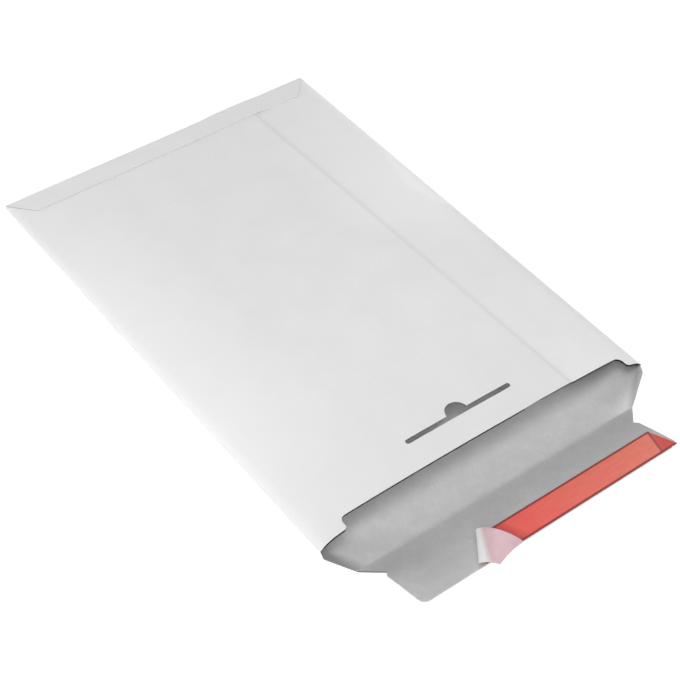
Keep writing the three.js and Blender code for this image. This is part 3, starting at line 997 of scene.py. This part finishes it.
def curl_place(path, radius):
    """How far ahead and how high the peeled film is, after a path round its curl and along its tail."""
    turn = min(path / radius, CURL_TURN)
    tail_turn = turn + max(path - radius * CURL_TURN, 0) / TAIL_RADIUS
    ahead = radius * math.sin(turn) + TAIL_RADIUS * (math.sin(tail_turn) - math.sin(turn))
    height = radius * (1 - math.cos(turn)) + TAIL_RADIUS * (math.cos(turn) - math.cos(tail_turn))
    return ahead, height


def liner_point(x, distance):
    off = 2 * ADHESIVE_GAP + ADHESIVE_THICKNESS + LINER_THICKNESS / 2
    path = (PEEL_X - x) * math.cos(PEEL_SLANT) + (LINER_MIDDLE - distance) * math.sin(PEEL_SLANT)
    if path <= 0:
        return on_flap(x, distance, off)
    ahead, height = curl_place(path, across_film(distance, CURL_OUTER_RADIUS, CURL_INNER_RADIUS))
    moved = ahead - path
    return on_flap(x - moved * math.cos(PEEL_SLANT), distance - moved * math.sin(PEEL_SLANT), off + height)


def make_liner():
    across = steps(LINER_OUTER, LINER_OUTER - LINER_WIDTH, LINER_STEPS_ACROSS)
    starts = [LINER_RIGHT_X + across_film(d, LINER_END_OUT, -LINER_END_BACK) for d in across]
    ends = [PEEL_X - across_film(d, PEEL_OUTER_LENGTH, PEEL_INNER_LENGTH) for d in across]
    blank = []
    for run in steps(0, 1, LINER_STEPS):
        blank.append([(lerp(start, end, run), -d) for d, start, end in zip(across, starts, ends)])
    rows = [[liner_point(x, -y) for x, y in row] for row in blank]
    materials = [red_film_material(), pale_film_material(), film_edge_material()]
    liner = sheet_object("liner", [(rows, blank)], LINER_THICKNESS, materials)
    shade(liner)
    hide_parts("release_liner")
    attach(liner, "flap")


def make_adhesive():
    right_x = LINER_RIGHT_X - (LINER_WIDTH - ADHESIVE_WIDTH) / 2
    half = ADHESIVE_WIDTH / 2
    across = steps(LINER_MIDDLE + half, LINER_MIDDLE - half, ADHESIVE_STEPS_ACROSS)
    along = steps(right_x, right_x - ADHESIVE_LENGTH, ADHESIVE_STEPS)
    blank = [[(x, -d) for d in across] for x in along]
    rows = [[on_flap(x, -y, ADHESIVE_FILM) for x, y in row] for row in blank]
    glue = adhesive_material()
    adhesive = sheet_object("adhesive", [(rows, blank)], ADHESIVE_FILM, [glue, glue, glue])
    shade(adhesive)
    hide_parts("adhesive_strip")
    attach(adhesive, "flap")


# Studio: floor, white surroundings, soft lamps and the camera
def seen_directly(tree):
    """One for rays that show the background: camera, glossy and transmission rays."""
    path = add_node(tree, "ShaderNodeLightPath")
    total = path.outputs["Is Camera Ray"]
    for name in ("Is Glossy Ray", "Is Transmission Ray"):
        either = add_node(tree, "ShaderNodeMath", {0: total, 1: path.outputs[name]}, operation="MAXIMUM")
        total = either.outputs["Value"]
    return total


def add_mix_by_ray(tree, lighting, shown):
    """One shader for the light that reaches the part, another for what shows directly."""
    inputs = {0: seen_directly(tree), 1: lighting, 2: shown}
    return add_node(tree, "ShaderNodeMixShader", inputs).outputs["Shader"]


def add_background(tree, strength):
    inputs = {"Color": (1, 1, 1, 1), "Strength": strength}
    return add_node(tree, "ShaderNodeBackground", inputs).outputs["Background"]


def add_diffuse(tree, grey):
    return add_node(tree, "ShaderNodeBsdfDiffuse", {"Color": (grey, grey, grey, 1)}).outputs["BSDF"]


def make_world():
    world = bpy.data.worlds.new("studio")
    world.use_nodes = True
    tree = world.node_tree
    tree.nodes.clear()
    surroundings = add_mix_by_ray(tree, add_background(tree, AMBIENT), add_background(tree, 1))
    add_node(tree, "ShaderNodeOutputWorld", {"Surface": surroundings})
    bpy.context.scene.world = world


def floor_material():
    """Pale grey for the light that it gives back; what shows is near white and takes the part's shadow."""
    material = bpy.data.materials.new("white_floor")
    material.use_nodes = True
    tree = material.node_tree
    tree.nodes.clear()
    place = add_node(tree, "ShaderNodeNewGeometry").outputs["Position"]
    away = add_node(tree, "ShaderNodeVectorMath", {0: place}, operation="LENGTH").outputs["Value"]
    strength = add_fade(tree, away, FLOOR_NEAR, FLOOR_FAR, FLOOR_GLOW, 1)
    glow = add_node(tree, "ShaderNodeEmission", {"Strength": strength}).outputs["Emission"]
    shown = add_node(tree, "ShaderNodeAddShader", {0: add_diffuse(tree, FLOOR_SHADE), 1: glow})
    both = add_mix_by_ray(tree, add_diffuse(tree, FLOOR_PLAIN), shown.outputs["Shader"])
    add_node(tree, "ShaderNodeOutputMaterial", {"Surface": both})
    return material


def make_floor():
    mesh = bpy.data.meshes.new("floor")
    signs = [(-1, -1), (1, -1), (1, 1), (-1, 1)]
    corners = [(x * FLOOR_HALF, y * FLOOR_HALF, FLOOR_HEIGHT) for x, y in signs]
    mesh.from_pydata(corners, [], [[0, 1, 2, 3]])
    mesh.materials.append(floor_material())
    floor = bpy.data.objects.new("floor", mesh)
    bpy.context.scene.collection.objects.link(floor)


def direction(azimuth, elevation):
    """Unit vector towards a place round the part: azimuth 0 is in front of the mouth, 90 to the right."""
    level = math.cos(elevation)
    return Vector((math.sin(azimuth) * level, -math.cos(azimuth) * level, math.sin(elevation)))


def make_lamp(name, azimuth, elevation, power):
    data = bpy.data.lights.new(name, "AREA")
    data.size = LAMP_SIZE
    data.energy = power
    lamp = bpy.data.objects.new(name, data)
    towards = direction(math.radians(azimuth), math.radians(elevation))
    lamp.location = towards * LAMP_DISTANCE
    lamp.rotation_euler = (-towards).to_track_quat("-Z", "Y").to_euler()
    bpy.context.scene.collection.objects.link(lamp)


def make_camera():
    back = direction(CAMERA_AZIMUTH, CAMERA_ELEVATION)
    level_right = Vector((0, 0, 1)).cross(back).normalized()
    level_up = back.cross(level_right)
    roll_cos = math.cos(CAMERA_ROLL)
    roll_sin = math.sin(CAMERA_ROLL)
    right = roll_cos * level_right + roll_sin * level_up
    up = roll_cos * level_up - roll_sin * level_right
    data = bpy.data.cameras.new("camera")
    data.sensor_width = SENSOR
    data.lens = SENSOR * FOCAL_PIXELS / IMAGE_SIZE
    data.clip_start = CLIP_START
    data.clip_end = CLIP_END
    camera = bpy.data.objects.new("camera", data)
    place = CAMERA_AIM + back * CAMERA_DISTANCE
    camera.matrix_world = Matrix.Translation(place) @ Matrix((right, up, back)).transposed().to_4x4()
    bpy.context.scene.collection.objects.link(camera)
    bpy.context.scene.camera = camera


make_camera()
make_board()
make_adhesive()
make_liner()
make_world()
make_floor()
for lamp_name, lamp_place in LAMPS.items():
    make_lamp(lamp_name, *lamp_place)
bpy.context.scene.view_settings.view_transform = "Standard"
